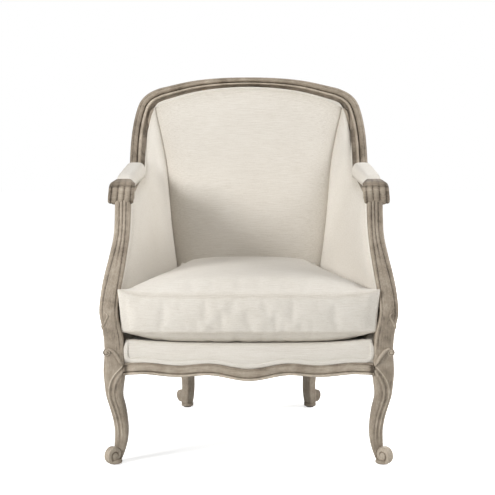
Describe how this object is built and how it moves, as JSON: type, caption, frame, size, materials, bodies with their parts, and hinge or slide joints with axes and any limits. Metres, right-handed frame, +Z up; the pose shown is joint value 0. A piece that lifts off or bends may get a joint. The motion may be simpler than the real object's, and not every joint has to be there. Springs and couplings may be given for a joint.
{
  "type": "upholstered armchair",
  "caption": "Bergere armchair: carved cabriole show-wood frame, swept wings, padded arms, upholstered back and a loose box-edge seat cushion.",
  "frame": {"origin": "on the floor, midway between the sides and midway between the toe tips and the back of the crest rail", "axes": "+Z up, the chair faces -Y, +X to the right as seen from the front"},
  "size_m": [0.7602, 0.7236, 0.9675],
  "materials": {
    "weathered_wood": "carved hardwood, grey-brown weathered stain, edges rubbed pale",
    "frame_wood": "plain sawn hardwood",
    "linen": "off-white slubbed linen over padding",
    "jute": "woven jute",
    "cambric": "thin black cambric",
    "steel": "plain spring steel",
    "nylon": "dark nylon"
  },
  "bodies": {
    "chair": {"arm_pad_left": "linen", "arm_pad_right": "linen", "arm_rail_left": "weathered_wood", "arm_rail_right": "weathered_wood", "arm_stump_left": "weathered_wood", "arm_stump_right": "weathered_wood", "back_rail": "frame_wood", "back_webbing": "jute", "corner_blocks": "frame_wood", "corner_screws": "steel", "crest_rail": "weathered_wood", "dust_cover": "cambric", "frame_dowels": "frame_wood", "front_border": "linen", "front_leg_left": "weathered_wood", "front_leg_right": "weathered_wood", "front_rail": "weathered_wood", "glides": "nylon", "inside_arm_left": "linen", "inside_arm_right": "linen", "inside_back": "linen", "outside_arm_left": "linen", "outside_arm_right": "linen", "outside_back": "linen", "rear_post_left": "weathered_wood", "rear_post_right": "weathered_wood", "seat_deck": "linen", "seat_hessian": "jute", "seat_springs": "steel", "side_rail_left": "weathered_wood", "side_rail_right": "weathered_wood", "spring_clips": "steel", "tack_rail": "frame_wood", "wing_rail_left": "weathered_wood", "wing_rail_right": "weathered_wood"},
    "cushion": {"seat_cushion": "linen", "zip_tape": "cambric"},
    "zip": {"zip_slider": "steel"}
  },
  "joints": [
    {"name": "cushion_lift_out", "type": "slide", "parent": "chair", "child": "cushion", "axis": [0, -0.9397, 0.342], "range_m": [0, 0.62]},
    {"name": "zip_run", "type": "slide", "parent": "cushion", "child": "zip", "axis": [-1, 0, 0], "range_m": [0, 0.33]}
  ]
}
